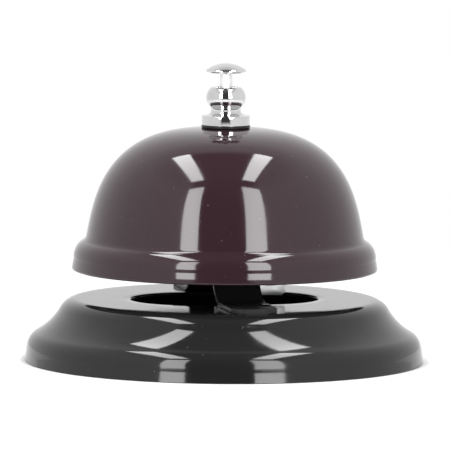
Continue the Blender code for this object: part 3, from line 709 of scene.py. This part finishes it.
def bell_side():
    """Tapered superellipse dome, concave fillet, convex shoulder, band, crease and flared lip."""
    height = high("bell").z - NECK_Z
    power = 2 / DOME_EXPONENT
    start = math.acos((BELL_HOLE / (NECK_RADIUS - DOME_TAPER)) ** (1 / power))
    side = []
    for step in range(DOME_STEPS + 1):
        angle = start * (1 - step / DOME_STEPS)
        rise = math.sin(angle) ** power
        radius = (NECK_RADIUS - DOME_TAPER * rise) * math.cos(angle) ** power
        side.append((radius, NECK_Z + height * rise))
    lean = math.atan(DOME_TAPER / height)
    fillet = (NECK_RADIUS + BELL_FILLET * math.cos(lean), NECK_Z + BELL_FILLET * math.sin(lean))
    side += arc(fillet, BELL_FILLET, math.pi + lean, math.pi + BELL_FLARE, 14)[1:]
    flare_radius, flare_z = side[-1]
    radius = (BAND_RADIUS - flare_radius) / (1 - math.cos(BELL_FLARE))
    shoulder = (BAND_RADIUS - radius, flare_z - radius * math.sin(BELL_FLARE))
    side += arc(shoulder, radius, BELL_FLARE, 0, 14)[1:-1]
    lip = [(BAND_RADIUS, shoulder[1]), (BAND_RADIUS, LIP_TOP),
           (high("bell").x, low("bell").z + BELL_SHEET / 2)]
    return side + rounded(lip, LIP_ROUNDING, closed=False)


def build_bell():
    side = bell_side()
    inside = offset(side, BELL_SHEET)
    half = BELL_SHEET / 2
    edge = arc((high("bell").x - half, low("bell").z + half), half, 0, -math.pi, 12)
    outline = side + edge[1:] + inside[-2::-1]
    install(lathe("bell_fine", outline, segments=ROUND), "bell")


FERRULE_FOOT = 50.35 * MM
SKIRT_TOP = 52.4 * MM
FERRULE_NECK_RADIUS = 3.15 * MM
FERRULE_NECK_Z = 53.3 * MM
BALL_RADIUS = 4.2 * MM
BALL_HALF_HEIGHT = 3.3 * MM
BALL_Z = 56.2 * MM
BALL_STEPS = 32
COVE_STEPS = 14


def build_ferrule():
    """Baluster nut: bored ball, neck, cove and straight skirt.

    The ball's first points give way to the rounded mouth of the bore.
    """
    top = high("crown_ferrule")
    cut = math.asin((top.z - BALL_Z) / BALL_HALF_HEIGHT)
    foot = -math.acos(FERRULE_NECK_RADIUS / BALL_RADIUS)
    ball = []
    for step in range(BALL_STEPS + 1):
        angle = cut + (foot - cut) * step / BALL_STEPS
        ball.append((BALL_RADIUS * math.cos(angle), BALL_Z + BALL_HALF_HEIGHT * math.sin(angle)))
    cove = []
    for step in range(COVE_STEPS + 1):
        angle = QUARTER * step / COVE_STEPS
        cove.append((FERRULE_NECK_RADIUS + (top.x - FERRULE_NECK_RADIUS) * (1 - math.cos(angle)),
                     FERRULE_NECK_Z - (FERRULE_NECK_Z - SKIRT_TOP) * math.sin(angle)))
    skirt = rounded([cove[-2], (top.x, SKIRT_TOP), (top.x, FERRULE_FOOT),
                     (FITTING_BORE, FERRULE_FOOT)], EDGE, closed=False)
    mouth = rounded([(FITTING_BORE, SKIRT_TOP), (FITTING_BORE, top.z), ball[0], ball[4]],
                    EDGE, closed=False)
    outline = mouth[1:] + ball[5:] + cove[:-1] + skirt[1:]
    install(lathe("crown_ferrule_fine", outline, segments=128), "crown_ferrule")


# Plunger

CAP_EDGE_Z = 62.05 * MM
SOCKET_RADIUS = 1.5 * MM
SOCKET_TOP = 62.8 * MM
ROD_RADIUS = 0.9 * MM
ROD_SHOULDER_Z = 44.0 * MM
ROD_TIP_RADIUS = 0.5 * MM
CLIP_GROOVE_RADIUS = 0.65 * MM
CLIP_GROOVE_TOP = 19.2 * MM
CLIP_GROOVE_BOTTOM = 18.5 * MM
CLIP_RADIUS = 2.0 * MM
CLIP_OPENING = math.radians(50)
PLUNGER_CLIP_BORE = 0.75 * MM


def build_cap():
    bottom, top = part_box("button_cap")
    rise = top.z - CAP_EDGE_Z
    sphere = (top.x ** 2 + rise ** 2) / (2 * rise)
    dome = arc((0, top.z - sphere), sphere, QUARTER, QUARTER - math.asin(top.x / sphere), 24)
    lip = (CAP_EDGE_Z - bottom.z) / 2
    under = rounded([dome[-2], (top.x, CAP_EDGE_Z), (top.x, bottom.z + lip),
                     (top.x - lip, bottom.z), (SOCKET_RADIUS, bottom.z),
                     (SOCKET_RADIUS, SOCKET_TOP)], EDGE, closed=False)
    outline = dome[:-1] + under[1:] + [(0, SOCKET_TOP)]
    install(lathe("button_cap_fine", outline, closed=False, segments=128), "button_cap")


def build_rod():
    bottom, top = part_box("plunger_rod")
    stem = top.x
    outline = [(0, top.z), (stem, top.z), (stem, ROD_SHOULDER_Z), (ROD_RADIUS, ROD_SHOULDER_Z),
               (ROD_RADIUS, CLIP_GROOVE_TOP), (CLIP_GROOVE_RADIUS, CLIP_GROOVE_TOP),
               (CLIP_GROOVE_RADIUS, CLIP_GROOVE_BOTTOM), (ROD_RADIUS, CLIP_GROOVE_BOTTOM),
               (ROD_RADIUS, bottom.z + ROD_RADIUS - ROD_TIP_RADIUS),
               (ROD_TIP_RADIUS, bottom.z), (0, bottom.z)]
    rod = lathe("plunger_rod_fine", rounded(outline, EDGE, closed=False), closed=False)
    install(rod, "plunger_rod")


def build_plunger_clip():
    bottom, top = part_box("plunger_clip")
    item = open_ring("plunger_clip", PLUNGER_CLIP_BORE, CLIP_RADIUS, top.z - bottom.z, CLIP_OPENING)
    item.data.transform(Matrix.Translation((0, 0, (bottom.z + top.z) / 2)))
    install(item, "plunger_clip")


SPRING_TURNS = 9
SPRING_WIRE = 0.2 * MM
SPRING_RADIUS = 1.25 * MM
SPRING_END_PITCH = 0.46 * MM
SPRING_STEPS = 36
WIRE_SIDES = 12


def build_spring():
    """Helix with a close turn at each end."""
    bottom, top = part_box("return_spring")
    first = bottom.z + SPRING_WIRE
    last = top.z - SPRING_WIRE
    open_length = last - first - 2 * SPRING_END_PITCH
    rings = []
    for step in range(SPRING_TURNS * SPRING_STEPS + 1):
        turn = step / SPRING_STEPS
        if turn <= 1:
            z = first + SPRING_END_PITCH * turn
        elif turn >= SPRING_TURNS - 1:
            z = last - SPRING_END_PITCH * (SPRING_TURNS - turn)
        else:
            z = first + SPRING_END_PITCH + open_length * (turn - 1) / (SPRING_TURNS - 2)
        angle = math.tau * turn
        out = Vector((math.cos(angle), math.sin(angle), 0))
        centre = out * SPRING_RADIUS + Vector((0, 0, z))
        rings.append([centre + out * (SPRING_WIRE * math.cos(math.tau * side / WIRE_SIDES))
                      + Vector((0, 0, SPRING_WIRE * math.sin(math.tau * side / WIRE_SIDES)))
                      for side in range(WIRE_SIDES)])
    spring = install(loft("return_spring_fine", rings), "return_spring")
    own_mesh(spring)


# Hinge and striker

PIN_RADIUS = 0.95 * MM
PIN_HEAD_RADIUS = 1.6 * MM
PIN_GROOVE_RADIUS = 0.7 * MM
PIN_GROOVE_PLAY = 0.2 * MM
PIN_CLIP_BORE = 0.8 * MM
PIN_HOLE_RADIUS = 1.15 * MM
LEVER_HALF_WIDTH = 4.6 * MM
LEVER_SHEET = 0.8 * MM
REST_GAP = 0.25 * MM
CLIP_SHEET = 0.5 * MM
ARM_SHEET = 0.5 * MM
ARM_BEND = 0.5 * MM
ARM_RAMP_START_X = 10.4 * MM
ARM_RAMP_END_X = 11.7 * MM
ARM_TOP_Z = 19.2 * MM


def build_pin():
    bottom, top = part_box("pivot_pin")
    head = LEVER_HALF_WIDTH + REST_GAP
    near = -head
    far = near - CLIP_SHEET - PIN_GROOVE_PLAY
    outline = [(0, -bottom.y), (PIN_HEAD_RADIUS, -bottom.y), (PIN_HEAD_RADIUS, head),
               (PIN_RADIUS, head), (PIN_RADIUS, near), (PIN_GROOVE_RADIUS, near),
               (PIN_GROOVE_RADIUS, far), (PIN_RADIUS, far), (PIN_RADIUS, -top.y), (0, -top.y)]
    item = lathe("pivot_pin_fine", rounded(outline, EDGE, closed=False), closed=False)
    item.data.transform(Matrix.Translation(HINGE) @ ALONG_Y)
    install(item, "pivot_pin")


def build_pin_clip():
    bottom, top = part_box("pivot_clip")
    item = open_ring("pivot_clip", PIN_CLIP_BORE, CLIP_RADIUS, top.y - bottom.y, CLIP_OPENING)
    middle = (HINGE[0], (bottom.y + top.y) / 2, HINGE[2])
    item.data.transform(Matrix.Translation(middle) @ ALONG_Y)
    install(item, "pivot_clip")


def build_lever():
    """Folded channel with soft edges, pierced for the pin."""
    bottom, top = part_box("striker_lever")
    x, _, z = HINGE
    eye = 1.9 * MM
    chamfer = 0.6 * MM
    low_cheek = 17.2 * MM
    side = [(bottom.x, bottom.z), (top.x - chamfer, bottom.z), (top.x, bottom.z + chamfer),
            (top.x, z)]
    side += arc((x, z), eye, 0, math.pi, 24) + [(x - eye, low_cheek), (bottom.x, low_cheek)]
    lever = plate("striker_lever_fine", side, 2 * LEVER_HALF_WIDTH, ALONG_Y)
    inside = LEVER_HALF_WIDTH - LEVER_SHEET
    floor = bottom.z + LEVER_SHEET
    above = 40 * MM
    walls = [(-inside, floor), (inside, floor), (inside, above), (-inside, above)]
    trough = plate("trough", rounded(walls, 0.4 * MM), 60 * MM,
                   Matrix.Rotation(QUARTER, 4, "Z") @ ALONG_Y)
    combine(lever, trough, "DIFFERENCE")
    soften(lever)
    hole = bore_tool(PIN_HOLE_RADIUS, -20 * MM, 20 * MM, 32)
    hole.data.transform(Matrix.Translation(HINGE) @ ALONG_Y)
    combine(lever, hole, "DIFFERENCE")
    shade(lever.data)
    install(lever, "striker_lever")


def build_arm():
    """Leaf with rolled bends: flat on the lever, up between its cheeks, and a hammer tab."""
    bottom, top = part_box("hammer_arm")
    low_z = bottom.z + ARM_SHEET
    tab_x = top.x - ARM_SHEET
    path = rounded([(bottom.x, low_z), (ARM_RAMP_START_X, low_z), (ARM_RAMP_END_X, ARM_TOP_Z),
                    (tab_x, ARM_TOP_Z), (tab_x, top.z)], ARM_BEND, closed=False, steps=6)
    arm = strip("hammer_arm_fine", [(x, z, top.y) for x, z in path], ARM_SHEET, "X")
    install(arm, "hammer_arm")


def build_hammer():
    """Turned slug with a chamfered striking end and a peened shank."""
    bottom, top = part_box("hammer_head")
    radius = top.y
    corner = 0.4 * MM
    shank = 0.9 * MM
    peen = 1.4 * MM
    inner_x = 23.85 * MM
    peen_end = bottom.x + 0.45 * MM
    outline = [(0, top.x), (radius - corner, top.x), (radius, top.x - corner), (radius, inner_x),
               (shank, inner_x), (shank, peen_end), (peen, peen_end), (peen, bottom.x),
               (0, bottom.x)]
    item = lathe("hammer_head_fine", rounded(outline, EDGE * 2, closed=False), closed=False)
    item.data.transform(Matrix.Translation((0, 0, (bottom.z + top.z) / 2)) @ ALONG_X)
    install(item, "hammer_head")


# Stage, light and camera

CAMERA_AZIMUTH = math.radians(-12.5)
CAMERA_DISTANCE = 1.5
CAMERA_HEIGHT = 0.175
CAMERA_LENS = 567
CAMERA_ROLL = math.radians(0.45)
AIM = Vector((0, 0, 0.029))
FRONT = Vector((math.sin(CAMERA_AZIMUTH), -math.cos(CAMERA_AZIMUTH), 0))
RIGHT = Vector((math.cos(CAMERA_AZIMUTH), math.sin(CAMERA_AZIMUTH), 0))
UP = Vector((0, 0, 1))
DARK = 0.06


def build_floor():
    bpy.ops.mesh.primitive_circle_add(vertices=96, radius=0.24, fill_type="NGON")
    floor = bpy.context.active_object
    floor.name = "floor"
    surface, tree, shader = base_material("floor", (0.62, 0.62, 0.62), 0.9, 0.0)
    tint(tree, object_noise(tree, 3, 2), (0.615, 0.615, 0.615), (0.625, 0.625, 0.625), shader)
    floor.data.materials.append(surface)


def world_level(tree, place, direction, spans):
    """Brightness by how far a direction points one way. Spans are (from, to, level, level)."""
    along = tree.nodes.new("ShaderNodeVectorMath")
    along.operation = "DOT_PRODUCT"
    along.inputs[1].default_value = direction
    tree.links.new(place.outputs["Generated"], along.inputs[0])
    spread = tree.nodes.new("ShaderNodeMapRange")
    for name, value in zip(("From Min", "From Max", "To Min", "To Max"), spans):
        spread.inputs[name].default_value = value
    tree.links.new(along.outputs["Value"], spread.inputs["Value"])
    return spread.outputs["Result"]


def world_mix(tree, operation, first, *others):
    """Several levels joined by one operation."""
    for other in others:
        mixed = tree.nodes.new("ShaderNodeMath")
        mixed.operation = operation
        tree.links.new(first, mixed.inputs[0])
        tree.links.new(other, mixed.inputs[1])
        first = mixed.outputs["Value"]
    return first


def build_world():
    """A white tent with a dark slot from the camera up over the bell, and a dimmer ceiling."""
    world = bpy.data.worlds.new("studio")
    world.use_nodes = True
    bpy.context.scene.world = world
    tree = world.node_tree
    place = tree.nodes.new("ShaderNodeTexCoord")
    right = world_level(tree, place, RIGHT, (0.30, 0.42, DARK, 1.0))
    left = world_level(tree, place, -RIGHT, (0.34, 0.44, DARK, 1.0))
    behind = world_level(tree, place, -FRONT, (0.27, 0.42, DARK, 1.0))
    below = world_level(tree, place, -UP, (0.08, 0.20, DARK, 1.0))
    above = world_level(tree, place, UP, (0.70, 0.95, DARK, 0.20))
    ceiling = world_level(tree, place, UP, (0.70, 0.85, 1.0, 0.80))
    tent = world_mix(tree, "MAXIMUM", right, left, behind, below, above)
    level = world_mix(tree, "MULTIPLY", tent, ceiling)
    tree.links.new(level, tree.nodes["Background"].inputs["Color"])


def softbox(name, place, facing, size, radiance):
    """A panel. Its place is (right, front, up) of the bell's foot, its facing (front, up)."""
    light = bpy.data.lights.new(name, "AREA")
    light.shape = "RECTANGLE"
    light.size, light.size_y = size
    light.energy = radiance * math.pi * size[0] * size[1]
    item = bpy.data.objects.new(name, light)
    where = RIGHT * place[0] + FRONT * place[1] + UP * place[2]
    back = -(FRONT * facing[0] + UP * facing[1]).normalized()
    turn = Matrix((RIGHT, -RIGHT.cross(back), back)).transposed().to_4x4()
    item.matrix_world = Matrix.Translation(where) @ turn
    item.visible_camera = False
    bpy.context.scene.collection.objects.link(item)


def build_lights():
    softbox("front_panel_left", (-0.30, 0.49, 0.36), (-0.6, -0.1), (0.175, 0.605), 10.0)
    softbox("front_panel_right", (0.265, 0.49, 0.36), (-0.6, -0.1), (0.20, 0.605), 10.0)
    softbox("ceiling_panel_left", (-0.345, 0.045, 0.90), (0, -1), (0.17, 0.75), 13.0)
    softbox("ceiling_panel_right", (0.285, 0.045, 0.90), (0, -1), (0.16, 0.75), 13.0)


def build_camera():
    camera = bpy.data.cameras.new("camera")
    camera.lens = CAMERA_LENS
    camera.clip_end = 50
    item = bpy.data.objects.new("camera", camera)
    item.location = FRONT * CAMERA_DISTANCE + UP * CAMERA_HEIGHT
    look = (item.location - AIM).to_track_quat("Z", "Y").to_matrix().to_4x4()
    item.matrix_world = (Matrix.Translation(item.location) @ look
                         @ Matrix.Rotation(CAMERA_ROLL, 4, "Z"))
    bpy.context.scene.collection.objects.link(item)
    bpy.context.scene.camera = item
    bpy.context.scene.view_settings.view_transform = "Standard"


build_camera()
build_floor()
build_world()
build_lights()
build_base()
build_foot_ring()
build_bridge()
build_rivets()
build_post()
build_nut("post_lock_nut")
build_nut("seat_nut")
build_washer("seat_washer", low("seat_washer").z, high("seat_washer").z)
build_washer("crown_washer", high("bell").z + SEAT, FERRULE_FOOT - SEAT)
build_lock_washer()
build_bell()
build_ferrule()
build_cap()
build_rod()
build_plunger_clip()
build_spring()
build_pin()
build_pin_clip()
build_lever()
build_arm()
build_hammer()
